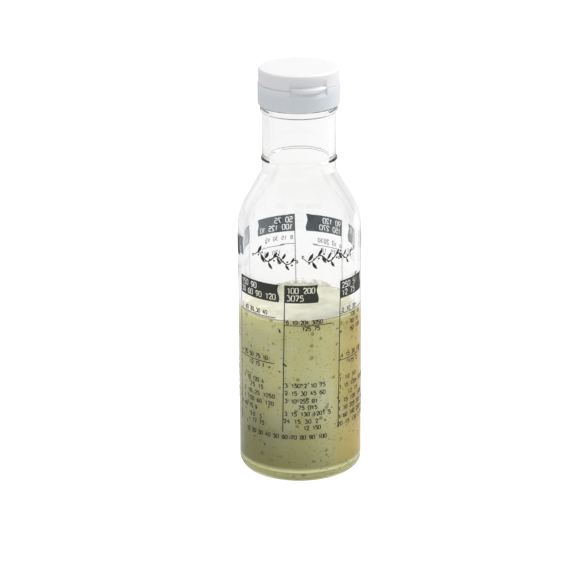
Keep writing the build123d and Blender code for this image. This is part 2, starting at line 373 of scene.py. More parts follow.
def dressingMaterial():
    # Cloudy emulsion: noises, some drawn out upward, move the colour. It is yellower towards +X,
    # a painted warm reflection, darker low down towards -X, painted shade, paler in a line at the top,
    # and near white in its lowest millimetres, painted light. Soft spots of herb show in the middle of
    # random cells.
    material, place = newMaterial("dressingEmulsion")
    look = named(dressingLook)
    cloud = place.stretched((1, 1, 0.55)).noise(62.0, 4.0, 0.6)
    drift = place.noise(24.0)
    streak = place.stretched((1, 1, 0.18)).noise(210.0, 3.0, 0.6)
    body = cloud.step(0.40, 0.62).mixed(look.main, look.pale)
    body = body.tinted(look.deep, drift.step(0.46, 0.66) * 0.6)
    body = body.tinted(look.pale, streak.step(0.5, 0.72) * 0.4)
    aside, height = place.part(0), place.part(2)
    # painted warm reflection, laid on the +X side
    body = body.tinted(look.warm, (aside + drift * 0.01).step(0.007, 0.03) * 0.9)
    # painted shade: darker low down towards -X
    low = (1.0 - (height + aside * 0.7 + drift * 0.02).step(0.004, 0.052)) * 0.8
    body = body.tinted(look.shade, low)
    body = body.tinted(look.skin, (height + cloud * 0.006).step(0.0835, 0.0895) * 0.8)
    body = body.tinted(look.froth, (height + cloud * 0.001).step(0.0852, 0.0869) * 0.9)
    # painted light: the lowest millimetres turned near white
    body = body.tinted(look.base, 1.0 - height.step(0.0050, 0.0080))
    ragged = place.vector("ADD", place.noise(900.0, 2.0, 0.6, 1).stretched((0.0016, 0.0016, 0.0016)))
    for scale, keep, soft, share in look.specks:
        cells = ragged.cells(scale)
        chance = cells.node("ShaderNodeSeparateColor", None, {0: cells.output("Color")})
        body = body.tinted(look.herb, (1.0 - cells.step(*soft)) * (chance > keep) * share)
    dust, patch = place.noise(900.0, 1.0), place.noise(120.0)
    body = body.tinted(look.dust, dust.step(0.62, 0.70) * patch.step(0.40, 0.6) * 0.5)
    return painted(material, body, 0.7, {"Specular IOR Level": 0.08})


def surfaceMaterial():
    # The still top of the dressing: paler where fine bubbles gather, brighter at the rim where
    # sqrt(x^2 + y^2) nears the glass, with a wet gloss.
    material, place = newMaterial("dressingTop")
    foam = place.noise(90.0, 4.0, 0.6)
    body = foam.step(0.36, 0.62).mixed(dressingLook["top"], dressingLook["foam"])
    reach = place.stretched((1, 1, 0)).vector("LENGTH", (0, 0, 0), 1)
    body = body.tinted(dressingLook["froth"], (reach + foam * 0.002).step(0.0272, 0.0296) * 0.5)
    bubbles = place.cells(800.0).step(0.1, 0.5).bumps(0.25, 0.0003)
    return painted(material, body, 0.35, {"Normal": bubbles})


plastic = {
    "body": colour(238, 238, 242),
    "cloud": colour(243, 243, 246),
    # painted shade: a cooler, greyer white for the closure's lower half
    "low": colour(222, 227, 232),
    # painted light: a lighter white for the lid's top
    "top": colour(242, 242, 242),
    "depth": 0.35, "reach": 0.0025,   # how much light soaks in, and how far in metres
    "split": (0.196, 0.2035), "crown": (0.2075, 0.2089),   # heights over which the colour turns
}


def plasticMaterial():
    # Moulded white plastic: a very fine grain, a faint cloud in colour and gloss, painted shade as a
    # cooler, greyer white on the closure's lower half, and painted light as a lighter white on top.
    p = named(plastic)
    material, place = newMaterial("closureWhite")
    cloud = place.noise(60.0, 3.0, 0.55)
    body = cloud.step(0.3, 0.7).mixed(p.body, p.cloud)
    height = place.part(2)
    # painted shade below the first pair of heights
    body = body.tinted(p.low, 1.0 - height.step(*p.split))
    # painted light on the lid's top
    body = body.tinted(p.top, height.step(*p.crown))
    return painted(material, body, cloud * 0.12 + 0.30, {
        "Normal": place.noise(2600.0).bumps(0.12, 0.00004), "Subsurface Weight": p.depth,
        "Subsurface Scale": p.reach, "Subsurface Radius": (1.0, 0.95, 0.9)})


def linerMaterial():
    # Pressed foam: a mottled pale grey with small pits.
    material, place = newMaterial("linerFoam")
    body = place.noise(700.0).mixed(colour(205, 206, 204), colour(228, 229, 227))
    pits = place.cells(2200.0).bumps(0.4, 0.00005)
    return painted(material, body, 0.75, {"Normal": pits})


def inkMaterial(name, shade):
    # Fired ceramic ink: nearly matt, worn thinner in small patches.
    material, place = newMaterial(name)
    wear = place.noise(500.0, 3.0, 0.6)
    body = (wear.step(0.55, 0.75) * 0.2).mixed(shade, colour(120, 124, 116))
    return painted(material, body, wear * 0.3 + 0.4)


def herbMaterial():
    # Dried herb: dark green, olive or brown, as a slow noise has it.
    material, place = newMaterial("herbFlecks")
    body = place.node("ShaderNodeValToRGB", {"stops": [
        (0.36, colour(74, 82, 42)), (0.5, colour(116, 118, 66)), (0.66, colour(108, 92, 54))]},
        {0: place.noise(160.0, 1.0)})
    return painted(material, body, 0.7, {"Specular IOR Level": 0.1})


plasticLook = plasticMaterial()
print("stage 2: the materials are ready")


bottle = {
    "radius": 31.0, "heelRound": 5.0, "bearingInner": 24.0, "bearingRound": 1.4, "punt": 3.0,
    "shoulder": 126.6, "shoulderRound": 30.0, "slope": 30.0, "neckRadius": 18.4, "neckRound": 12.0,
    "neckFoot": 159.678, "ringHeight": 163.0,
    "ring": [(0, -0.6, 0.2), (1.0, -0.3, 0.4), (0, 0.95, 0.4)],   # out, up and round of its corners
    "beadFoot": 187.198, "beadTop": 189.998, "beadProud": 0.85, "beadRound": 0.6, "beadSlant": 0.35,
    "finishRadius": 17.6, "land": 199.302, "landRound": 0.8,
    "innerRadius": 28.0, "floorEdge": 3.6, "innerCorner": 5.0, "boreRadius": 15.0,
    "innerShoulderRound": 27.0, "innerNeckRound": 10.0, "innerNeckFoot": 160.371,
    "throatRadius": 15.2, "throatStep": 0.2, "throatDrop": 1.6, "boreFoot": 186.6,
    "threadLow": 193.069, "threadPitch": 25.4 / 6, "threadDepth": 1.2, "threadFoot": 2.2,
    "threadCrest": 1.1, "threadFade": 0.44,   # radians
    "columns": 180,
}


def domeCorners(start, end, edge, low):
    # Corners from one radius to another over a shallow dome, an arc of a circle: the punt's height
    # over low in its middle, and nothing at its edge.
    radii, rise = np.linspace(start, end, 9), bottle["punt"]
    sphere = (edge ** 2 + rise ** 2) / (2 * rise)
    return np.stack([radii, low + (rise - sphere + np.sqrt(sphere ** 2 - radii ** 2)), radii * 0], 1)


def threadRidge(height, turn, low, pitch, foot, crest, depth, lead=0.0):
    # Depth of a one-turn thread at a height and a turn (radians from +X): it climbs one pitch a
    # turn from low, its section is a trapezoid, and it runs out over the fade at both ends.
    along = (turn - math.radians(lead)) % (2 * np.pi)
    away = abs(height - low - pitch * along / (2 * np.pi))
    section = np.clip((foot / 2 - away) / ((foot - crest) / 2), 0, 1)
    ends = smooth(along, 0, bottle["threadFade"])
    return depth * section * ends * (1 - smooth(along, 2 * np.pi - bottle["threadFade"], 2 * np.pi))


def bottleProfile():
    # From the middle of the base outside, up to the mouth, and down inside to the floor's middle.
    b = named(bottle)
    tangent = math.tan(math.radians(b.slope / 2))
    punt = domeCorners(0, b.bearingInner - 1.6, b.bearingInner, 0)
    ring = [(b.neckRadius + out, b.ringHeight + up, rounding) for out, up, rounding in b.ring]
    beadRadius = b.neckRadius + b.beadProud
    throatFoot = (b.innerNeckFoot - b.innerNeckRound * tangent
                  - (b.throatRadius - b.boreRadius) / math.tan(math.radians(b.slope)) - b.throatDrop)
    outside = [
        (b.bearingInner, 0, b.bearingRound),
        (b.radius, 0, b.heelRound),
        (b.radius, b.shoulder + b.shoulderRound * tangent, b.shoulderRound),
        (b.neckRadius, b.neckFoot - b.neckRound * tangent, b.neckRound),
        *ring,
        (b.neckRadius, b.beadFoot - b.beadSlant, 0.2),
        (beadRadius, b.beadFoot + b.beadSlant, 0.4),
        (beadRadius, b.beadTop, b.beadRound),
        (b.finishRadius, b.beadTop, 0.3),
        (b.finishRadius, b.land, b.landRound),
        (b.boreRadius, b.land, 0.6),
        (b.boreRadius, b.land - 2.0, 1.0),
        (b.throatRadius - b.throatStep, b.boreFoot + b.throatStep, 0.25),
        (b.throatRadius, b.boreFoot, 0.25),
        (b.throatRadius, throatFoot, b.innerNeckRound),
        (b.innerRadius, b.shoulder + b.innerShoulderRound * tangent, b.innerShoulderRound),
        (b.innerRadius, b.floorEdge, b.innerCorner),
    ]
    floorRadius = b.innerRadius - b.innerCorner
    floor = domeCorners(floorRadius, 0, floorRadius, b.floorEdge)
    return roundedPath(np.vstack([punt, outside, floor[1:]]))


def makeBottle():
    # The profile turned about the axis, and the thread's depth added to the radius at the mouth.
    b = named(bottle)
    path = splitLong(bottleProfile(), 12.0)
    onFinish = (path[:-1, 1] > b.beadTop) & (path[:-1, 0] > b.finishRadius - 0.1)
    path = splitLong(path, np.where(onFinish, 0.22, 12.0))
    angle, radius, height = ringAngles(b.columns), path[:, :1], path[:, 1:]
    ridge = threadRidge(height, angle[None] - np.pi / 2, b.threadLow, b.threadPitch,
                        b.threadFoot, b.threadCrest, b.threadDepth)
    side = (radius > b.finishRadius - 0.5) & (height > b.beadTop + 0.2)
    turnedPiece("bottleGlass", radius + ridge * side, height, angle, glassMaterial(), "bottle",
                "glass_bottle")


makeBottle()
print("stage 3: the bottle is made")


fill = {
    "height": 86.9, "embed": 0.12, "climb": 0.14, "climbWidth": 0.9, "ripple": 0.06, "columns": 160,
}
flecks = {
    "count": 270, "seed": 11, "corners": 7, "lowest": 9, "under": 1.5,
    "small": 0.14, "growth": 0.55, "fewLarge": 2.4, "longer": 1.3, "askew": 0.25, "uneven": 0.35,
}


def makeDressing():
    # The room inside the glass up to the fill height, a hair wider so that no air shows between.
    # Its still surface climbs the glass by climb * e^-(distance / climbWidth), and ripples as the
    # sine of half the radius, shifted by the sine of the angle.
    b, f = named(bottle), named(fill)
    full, side = f.height, b.innerRadius + f.embed
    low, floorRadius = b.floorEdge - f.embed, b.innerRadius - b.innerCorner
    path = splitLong(roundedPath(np.vstack([
        domeCorners(0, floorRadius, floorRadius, low)[:-1],
        [(side, low, b.innerCorner), (side, full, 0.3), (side - 1, full - 1, 0), (0, full - 1, 0)],
    ])), 4.0)
    angle = ringAngles(f.columns)
    turnedPiece("dressingBody", path[:, :1], path[:, 1:], angle, dressingMaterial(), "bottle",
                "dressing")
    reach = np.r_[0, np.linspace(1.5, side - 3.0, 12), np.linspace(side - 2.6, side, 12)]
    top = full + f.climb * np.exp(-(side - reach) / f.climbWidth)
    calm = smooth(reach, 0, 5) * (reach < side - 2)
    ripple = f.ripple * np.sin(reach[:, None] * 0.5 + 2 * np.sin(angle)[None] * 1.3) * calm[:, None]
    shell = np.r_[reach, side - 0.02, side - 0.02, 0]
    level = np.vstack([top[:, None] + ripple * 0.6, np.full((3, len(angle)), full - 0.6)])
    level[-3] = top[-1] - 0.02
    turnedPiece("dressingSurface", shell[:, None], level, angle, surfaceMaterial(), "bottle")


def makeFlecks():
    # Chopped herb: each bit is a flat, uneven seven-sided flake, swollen a little in the middle.
    # Its size is small + growth * r^fewLarge for a random r, the rim's distance is size *
    # (1 + unevenness), and the flake lies in the dressing's side.
    f, random = named(flecks), np.random.default_rng(flecks["seed"])
    count, spread = f.count, (f.count, f.corners)
    turn = random.uniform(0, 2 * np.pi, count)
    height = random.uniform(f.lowest, fill["height"] - f.under, count)
    size = f.small + f.growth * random.random(count) ** f.fewLarge
    long = 1 + f.longer * random.random(count) ** 2
    spin = random.uniform(0, np.pi, count)
    spoke = np.linspace(0, 2 * np.pi, f.corners, endpoint=False)
    spoke = spoke + random.uniform(-f.askew, f.askew, spread)
    far = size[:, None] * (1 + random.uniform(-f.uneven, f.uneven, spread))
    u, v = far * np.cos(spoke) * long[:, None], far * np.sin(spoke)
    aside = u * np.cos(spin)[:, None] - v * np.sin(spin)[:, None]
    up = u * np.sin(spin)[:, None] + v * np.cos(spin)[:, None]
    surface = bottle["innerRadius"] + fill["embed"]
    # part of the way out to the rim, and swelling, from one face round to the other
    section = ((0.0, 0.06), (0.6, 0.05), (1.0, 0.0), (0.6, -0.05), (0.0, -0.06))
    points = np.stack([around(surface + 0.01 + lift * (0.5 + size[:, None]),
                              turn[:, None] + aside * share / surface, height[:, None] + up * share)
                       for share, lift in section], 1)
    faces = gridFaces(5, f.corners)[None] + np.arange(count)[:, None, None] * 5 * f.corners
    newPiece("herbFlecks", points, faces.reshape(-1, 4), herbMaterial(), "bottle")


smear = {
    "radius": 28.04, "thick": 0.03, "columns": 240,
    # its crest: the height all round, then at the back and at the left how much more, at what
    # degree, and over how many
    "low": 0.04, "high": 2.8, "tall": 158.0, "wide": 34.0,
    "left": 3.0, "leftTall": -82.0, "leftWide": 26.0,
    "waves": [(0.35, 5, 1), (0.22, 13, 2), (0.08, 31, 0)],   # height, number all round, shift
}


def smearMaterial():
    # What ran back down the glass: a cream film, thick at the foot, that breaks up higher up; its
    # near-white colour is partly painted light, for light shining through it. Its opacity is the noise
    # less the height over the dressing, stepped.
    material, place = newMaterial("dressingSmear")
    film = place.stretched((1, 1, 1.1)).noise(330.0, 4.0, 0.6)
    cover = (film - (place.part(2) - 0.087) * 80.0).step(0.2, 0.52) * 0.4
    body = film.step(0.35, 0.65).mixed(dressingLook["film"], dressingLook["foam"])
    return painted(material, body, 0.5, {"Alpha": cover})


def makeSmear():
    # A thin closed band on the glass above the dressing. Its height is low + high * e^-(a / wide)^2
    # + left * e^-(b / leftWide)^2, a being degrees from the tallest spot at the back and b those
    # from one at the left, with high * sin(number * angle + shift) of each wave added to both.
    s = named(smear)
    angle = ringAngles(s.columns)
    waves = sum(high * np.sin(number * angle + shift) for high, number, shift in s.waves)
    back = np.exp(-(fromFront(angle - math.radians(s.tall)) / s.wide) ** 2)
    left = np.exp(-((fromFront(angle) - s.leftTall) / s.leftWide) ** 2)
    crest = s.low + (s.high + waves) * back + (s.left + waves) * left
    share = np.array([0, 0.25, 0.5, 0.75, 1, 1, 0.75, 0.5, 0.25, 0])[:, None]
    radius = np.repeat([s.radius, s.radius - s.thick], 5)[:, None]
    height = fill["height"] - 0.4 + (crest + 0.4) * share
    turnedPiece("dressingSmear", radius, height, angle, smearMaterial(), "bottle",
                wrapRows=True)


def fromFront(angle):
    # Degrees from the front, -180 to 180.
    return np.degrees((angle + np.pi) % (2 * np.pi) - np.pi)


makeDressing()
makeFlecks()
makeSmear()
print("stage 4: the dressing is made")


inkPrint = {
    "radius": 31.0, "lift": 0.02, "thick": 0.03,
    "turn": -15.0,        # degrees from the front to the middle column's reading side
    "lean": 0.036,        # degrees of lean for each millimetre of height
    # inks, as seen from outside and through the glass
    "flagInk": colour(44, 47, 36), "flagBackInk": colour(2, 56, 70),
    "lineInk": colour(19, 18, 11), "lineBackInk": colour(156, 165, 175),
    # poles, lines and marks, then the flags' own shape and how their numbers sit in them
    "poleWidth": 0.52, "poleFoot": 28.0, "lineWidth": 0.40, "markWidth": 0.48, "markHeight": 2.0,
    "flagHeight": 9.2, "flagMark": 2.8, "flagStroke": 0.44, "flagPitch": 2.05, "flagMargin": 1.4,
    "flagWave": 0.62, "flagTurns": 1.85, "flagSlant": 0.35, "flagUpper": 1.25, "flagLower": 1.2,
    "flagRoom": 3.2,
    "flagFirst": 1.1, "flagRun": 1.6,   # first cut across the sheets and those after, to bend them
    # degrees of the pole, low edge of its flag, flag's width in mm, numbers on the flag
    "flags": [
        (-70.0, 96.7, 27.0, "150 90", "30 60 90 120"),
        (-14.9, 96.7, 17.0, "100 200", "3075"),
        (39.4, 96.7, 19.6, "250 50", "12 75"),
        (88.0, 114.6, 15.0, "60 90", "120"),
        (128.6, 114.6, 23.4, "90 120", "150 270"),
        (183.3, 114.6, 23.9, "50 75", "100 125 10"),
        (245.5, 114.6, 21.4, "75 100", "30 45 60"),
    ],
    # level lines: height, first and last degree
    "levels": [
        (88.4, -70, -22.6), (64.0, -69.3, -23.7), (84.9, -14.9, 31.1), (88.6, 39.4, 76),
        (64.0, 38.7, 77), (107.4, 88, 121), (76.2, 88, 122), (107.6, 128.6, 166), (70.4, 127.6, 163),
        (107.7, 183.3, 222), (82.0, 182.8, 219), (104.6, 245.5, 281), (72.6, 244.5, 282),
    ],
    # rows of numbers: height of the middle, first and last degree
    "rows": [
        (90.5, -66, -32, "3 10 20 30 40"), (66.3, -67.6, -31, "4 25 50 75 10"),
        (62.2, -53, -34.6, "12 15 1"), (53.4, -63, -35, "1 10 120 4"), (50.2, -51.7, -35.4, "75 15"),
        (46.3, -62.5, -22.8, "2 10 25 1050"), (42.3, -62.7, -23.9, "1 150 60 120"),
        (38.2, -67.9, -42.9, "1 40 75 9"), (34.0, -52.2, -36.4, "50 3"), (31.0, -49, -33.9, "12 75"),
        (86.6, -12.4, 21, "6 10 204 3050"), (83.3, 2, 18.6, "125 75"),
        (53.1, -12.9, 25, "3 150 2 10 75"), (49.0, -12.9, 25, "2 15 30 45 60"),
        (44.8, -12.9, 17.5, "3 10 255 01"), (41.4, 0, 17.4, "75 015"),
        (37.9, -12.9, 31, "3 15 130 1201 5"), (33.9, -13.6, 18.6, "24 15 30 2"),
        (30.4, 5, 21, "12 150"),
        (90.3, 42.3, 63, "2 10 20"), (86.2, 54.5, 72, "120 45"), (82.6, 54.5, 69, "90 15"),
        (79.0, 54.5, 72, "60 120"), (66.2, 42.3, 74.6, "4 15 30 120"), (61.6, 55.6, 67.9, "75 2"),
        (54.0, 40.4, 65.3, "1 10 50"), (49.7, 40.4, 84, "1 15 1204 5010"), (45.6, 52.2, 69.6, "12 75"),
        (41.9, 39.9, 80.7, "1 75 120 1505"), (37.9, 39.9, 85, "1 10 205 301 45"),
        (33.8, 39.9, 85, "1 60 190 2501 5"), (29.8, 39.3, 84, "20 15 130 2 75"),
        (109.6, 90, 118, "8 10 120"), (78.4, 90, 114, "4 50 25"), (74.2, 98, 116, "125 15"),
        (56.0, 88, 116, "2 10 120"), (51.9, 88, 118, "1 15 30 45"), (47.8, 98, 116, "120 5"),
        (43.7, 88, 118, "3 75 1001"), (39.6, 88, 110, "1 25 50"), (35.5, 88, 121, "12 15 20 3"),
        (109.9, 130.5, 160, "6 10 2030"), (105.4, 139, 157, "75 10"), (72.6, 129, 158, "3 15 1201"),
        (57.6, 128.6, 157, "1 15 1001"), (53.5, 128.6, 160, "2 10 250 5"), (49.4, 138, 156, "120 3"),
        (45.3, 127.6, 158, "2 30 45 60"), (41.2, 127.6, 161, "1 75 120 15"),
        (37.1, 127.6, 158, "20 1 150"),
        (111.2, 186, 217, "8 15 30 45"), (104.2, 199, 219, "120 75"), (84.2, 184, 216, "5 25 50 75"),
        (79.8, 196, 212, "10 20"), (60.2, 183, 215, "3 10 120 5"), (56.1, 183, 216, "1 15 30 120"),
        (52.0, 183, 212, "1 250 50"), (47.9, 193, 213, "75 15"), (43.8, 182.4, 211, "2 10 205"),
        (39.7, 182.4, 214, "24 1 1205"),
        (106.8, 247, 277, "7 30 60 90"), (102.2, 258, 276, "120 5"), (74.8, 246, 276, "2 15 1201"),
        (57.4, 246, 276, "2 10 150 2"), (53.3, 246, 279, "1 25 50 75"), (49.2, 256, 275, "100 30"),
        (45.1, 245, 275, "1 15 120 1"), (41.0, 245, 279, "2 75 1501 5"), (36.9, 245, 276, "24 2 1001"),
        (25.3, -58, 27, "10 20 30 40 50 60 70 80 90 100"),
    ],
}
# each digit as paths of (x, y, round) in parts of its height, with small gaps as in a stencil
digitPaths = {
    "0": [[(0.25, 1, 0), (0, 1, 0.24), (0, 0, 0.24), (0.25, 0, 0)],
          [(0.33, 1, 0), (0.58, 1, 0.24), (0.58, 0, 0.24), (0.33, 0, 0)]],
    "1": [[(0.12, 0.78, 0), (0.38, 1.0, 0.12), (0.38, 0, 0)]],
    "2": [[(0, 0.74, 0), (0, 1, 0.25), (0.56, 1, 0.25), (0.56, 0.6, 0.2), (0, 0, 0.12), (0.6, 0, 0)]],
    "3": [[(0, 1, 0), (0.52, 1, 0.12), (0.22, 0.6, 0.12), (0.58, 0.6, 0.12), (0.58, 0, 0.27),
           (0, 0, 0)]],
    "4": [[(0.34, 1, 0), (0, 0.32, 0.12), (0.3, 0.32, 0)], [(0.44, 0.62, 0), (0.44, 0, 0)]],
    "5": [[(0.54, 1, 0), (0.04, 1, 0.12), (0, 0.56, 0.12), (0.58, 0.64, 0.26), (0.58, 0, 0.26),
           (0, 0, 0)]],
    "6": [[(0.48, 1, 0), (0, 0.72, 0.35), (0, 0, 0.27), (0.58, 0, 0.27), (0.58, 0.58, 0.27),
           (0.17, 0.58, 0)]],
    "7": [[(0, 1, 0), (0.56, 1, 0.12), (0.16, 0, 0)]],
    "8": [[(0.24, 0.54, 0), (0.03, 0.54, 0.2), (0.03, 1, 0.2), (0.55, 1, 0.2), (0.55, 0.54, 0.2),
           (0.3, 0.54, 0)],
          [(0.24, 0.5, 0), (0, 0.5, 0.22), (0, 0, 0.22), (0.58, 0, 0.22), (0.58, 0.5, 0.22),
           (0.3, 0.5, 0)]],
    "9": [[(0.1, 0, 0), (0.58, 0.28, 0.35), (0.58, 1, 0.27), (0, 1, 0.27), (0, 0.42, 0.27),
           (0.41, 0.42, 0)]],
}
vine = {
    "ink": colour(26, 27, 26),
    "stem": 0.64, "wave": 1.7, "waveLength": 10.5, "curl": 0.5, "berry": 0.5,
    "leafLength": 4.7, "leafWidth": 1.6, "leafTurn": 58.0, "leafShrink": 0.035,
    # start and end across the glass, height, number of leaves, turn of the leaves
    "sprigs": [(-25.2, -3.6, 119.4, 9, 1), (1.6, 29.6, 119.7, 11, -1)],
}


def onGlass(flat, out):
    # From the flat print to the bottle's side: the angle is x / radius, plus turn and lean.
    p = named(inkPrint)
    angle = flat[:, 0] / p.radius + np.radians(p.turn + p.lean * (flat[:, 1] - 85.0))
    return around(p.radius + p.lift + out, angle, flat[:, 1])


def across(degrees):
    # Where degrees from the middle column come on the flat print: angle * radius.
    return math.radians(degrees) * inkPrint["radius"]


def strokeSides(path, width):
    # Both edges of a stroke: its path moved half its width along the normal, each way.
    way = np.gradient(path, axis=0)
    way /= np.maximum(np.linalg.norm(way, axis=1), 1e-9)[:, None]
    side = np.stack([-way[:, 1], way[:, 0]], 1) * (np.broadcast_to(width, len(path)) / 2)[:, None]
    return path + side, path - side


def inkPiece(name, strokes, outerInk, innerInk):
    # Each stroke is a path and a width: a flat four-cornered bar laid on the glass, closed at
    # both ends. Its face against the glass has the ink's inner colour.
    shapes, inner, thick = [], [], inkPrint["thick"]
    for path, width in strokes:
        left, right = strokeSides(path, width)
        rows = np.stack([onGlass(left, 0), onGlass(left, thick),
                         onGlass(right, thick), onGlass(right, 0)], 1)
        last = np.arange(4) + 4 * (len(path) - 1)
        faces = np.vstack([gridFaces(len(path), 4), [[3, 2, 1, 0]], [last]])
        shapes.append((rows.reshape(-1, 3), faces))
        inner.append(np.r_[np.tile([0, 0, 0, 1], len(path) - 1), 0, 0])
    points, faces = joined(shapes)
    mesh = newPiece(name, points, faces, outerInk, "bottle", weld=False).data
    mesh.materials.append(innerInk)
    mesh.polygons.foreach_set("material_index", np.concatenate(inner).astype(np.int32))
    mesh.polygons.foreach_set("use_smooth", np.zeros(len(faces), bool))


def numberPaths(text, start, end, low, height):
    # Plain digits as paths, spread evenly from start to end, their feet at low.
    step = (end - start) / (len(text) - 0.25)
    narrow = min(0.74 * step / (0.58 * height), 1.0)
    paths = []
    for k, digit in enumerate(text):
        for corners in digitPaths.get(digit, []):
            path = roundedPath(corners, False, 5) * height * [narrow, 1] + [start + k * step, low]
            paths.append(splitLong(path, 1.0))
    return paths


def straight(start, end):
    # A straight path in short equal runs, so that it bends with the glass.
    return splitLong(np.array([start, end], float), 0.9)


def makeFlags():
    # Each flag is a flat sheet whose free end curls; its numbers are real openings in the ink.
    # The free end is width - slant t - wave sin(turns pi t) from the pole, t going down the edge.
    p = named(inkPrint)
    curve = bpy.data.curves.new("flagOutlines", "CURVE")
    curve.dimensions = "2D"
    curve.fill_mode = "BOTH"
    curve.extrude = p.thick / 2 * mm

    def outline(points):
        # one closed edge of the sheet; an edge inside another is an opening
        spline = curve.splines.new("POLY")
        spline.points.add(len(points) - 1)
        flat = np.c_[points * mm, np.zeros(len(points)), np.ones(len(points))]
        spline.points.foreach_set("co", flat.ravel())
        spline.use_cyclic_u = True

    down = np.linspace(0, 1, 25)
    for angle, low, width, upper, lower in p.flags:
        start, high = across(angle), low + p.flagHeight
        curl = p.flagSlant * down + p.flagWave * np.sin(p.flagTurns * np.pi * down)
        edge = np.stack([start + width - curl, high - p.flagHeight * down], 1)
        outline(np.vstack([[start, low], [start, high], edge]))
        first = start + p.flagMargin
        for text, level in ((upper, high - p.flagUpper - p.flagMark), (lower, low + p.flagLower)):
            length = min(len(text) * p.flagPitch, width - p.flagRoom)
            for path in numberPaths(text, first, first + length, level, p.flagMark):
                left, right = strokeSides(path, p.flagStroke)
                outline(np.vstack([left, right[::-1]]))
    flat = placed("flagOutlines", curve)
    bpy.context.view_layer.update()
    mesh = bpy.data.meshes.new_from_object(flat)
    bpy.data.objects.remove(flat)
    shape = bmesh.new()
    shape.from_mesh(mesh)
    bmesh.ops.remove_doubles(shape, verts=shape.verts, dist=1e-6)
    place = [corner.co.x for corner in shape.verts]
    for cut in np.arange(min(place) + p.flagFirst * mm, max(place), p.flagRun * mm):
        bmesh.ops.bisect_plane(shape, geom=shape.verts[:] + shape.edges[:] + shape.faces[:],
                               plane_co=(cut, 0, 0), plane_no=(1, 0, 0))
    bmesh.ops.dissolve_degenerate(shape, edges=shape.edges, dist=1e-6)
    bmesh.ops.recalc_face_normals(shape, faces=shape.faces)
    shape.to_mesh(mesh)
    shape.free()
    place = np.empty(len(mesh.vertices) * 3, np.float32)
    mesh.vertices.foreach_get("co", place)
    place = place.reshape(-1, 3).astype(float) / mm
    normal = np.empty(len(mesh.polygons) * 3, np.float32)
    mesh.polygons.foreach_get("normal", normal)
    wrapped = onGlass(place, place[:, 2] + p.thick / 2)
    mesh.vertices.foreach_set("co", (wrapped * mm).astype(np.float32).ravel())
    mesh.materials.clear()
    mesh.materials.append(inkMaterial("printFlags", p.flagInk))
    mesh.materials.append(inkMaterial("printFlagsBack", p.flagBackInk))
    mesh.polygons.foreach_set("material_index", (normal[2::3] < -0.5).astype(np.int32))
    mesh.update()
    mesh.name = "printFlags"
    piece = placed("printFlags", mesh)
    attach(piece, "bottle")


def makeLines():
    # Poles, level lines and rows of small numbers.
    p = named(inkPrint)
    strokes = []
    for angle, low, *rest in p.flags:
        place = across(angle) + 0.2
        strokes.append((straight((place, p.poleFoot), (place, low + 0.3)), p.poleWidth))
    for height, start, end in p.levels:
        strokes.append((straight((across(start), height), (across(end), height)), p.lineWidth))
    size = p.markHeight
    for height, start, end, text in p.rows:
        paths = numberPaths(text, across(start), across(end), height - size / 2, size)
        strokes += [(path, p.markWidth) for path in paths]
    inkPiece("printLines", strokes, inkMaterial("printLines", p.lineInk),
             inkMaterial("printLinesBack", p.lineBackInk))


def walked(base, heading, step):
    # The path of a point that takes one step along each heading: a running sum of
    # (cos, sin) * step.
    return base + np.cumsum(np.stack([np.cos(heading), np.sin(heading)], 1) * step, 0)


def leafStroke(base, heading, length, width):
    # A leaf as a stroke that bends a little and swells by sin(pi t)^0.8.
    t = np.linspace(0, 1, 13)
    path = walked(base, heading + 0.5 * (t - 0.5), length / 12)
    return path, width * np.sin(np.pi * np.clip(t, 0.02, 0.98)) ** 0.8


def curlStroke(base, heading, length, turns):
    # A tendril: its heading turns ever faster and its steps get shorter, so that it rolls up.
    t = np.linspace(0, 1, 48)
    step = (length * (1 - 0.7 * t) / 48)[:, None]
    path = walked(base, heading + 2 * np.pi * turns * t ** 1.6, step)
    return path, vine["curl"] * (1 - 0.35 * t)


def berryStroke(middle, size):
    # A round dot as one short stroke whose width is a circle's chord.
    t = np.linspace(-0.999, 0.999, 13)
    return np.stack([middle[0] + size * t, middle[1] + 0 * t], 1), 2 * size * np.sqrt(1 - t ** 2)


def makeVine():
    # Two sprigs: a stem that waves as sin, filled leaves on both sides, berries and tendrils.
    v, strokes = named(vine), []
    for start, end, lift, leaves, hand in v.sprigs:
        along = np.linspace(start, end, 140)
        share = (along - start) / (end - start)
        phase = 2 * np.pi * (along - start) / v.waveLength
        stem = np.stack([along, lift + v.wave * hand * np.sin(phase) - 1.0 * share], 1)
        strokes.append((stem, v.stem * (0.6 + 0.5 * np.sin(np.pi * share))))
        for k in range(leaves):
            spot = stem[int((k + 0.7) / (leaves + 0.4) * 139)]
            side, size = (-1) ** k, 1 - v.leafShrink * k
            strokes.append(leafStroke(spot, side * math.radians(v.leafTurn), v.leafLength * size,
                                      v.leafWidth * size))
            strokes.append(berryStroke(spot + [0.9, -side * 0.95], v.berry))
        strokes.append(curlStroke(stem[-1], 0.3 * hand, 7.0, -1.15 * hand))
        strokes.append(curlStroke(stem[96], -1.1, 8.4, -1.1))
        strokes.append(curlStroke(stem[0], math.radians(160), 5.4, 1.1 * hand))
    ink = inkMaterial("printVine", v.ink)
    inkPiece("printVine", strokes, ink, ink)


makeFlags()
makeLines()
makeVine()
print("stage 5: the print is made")


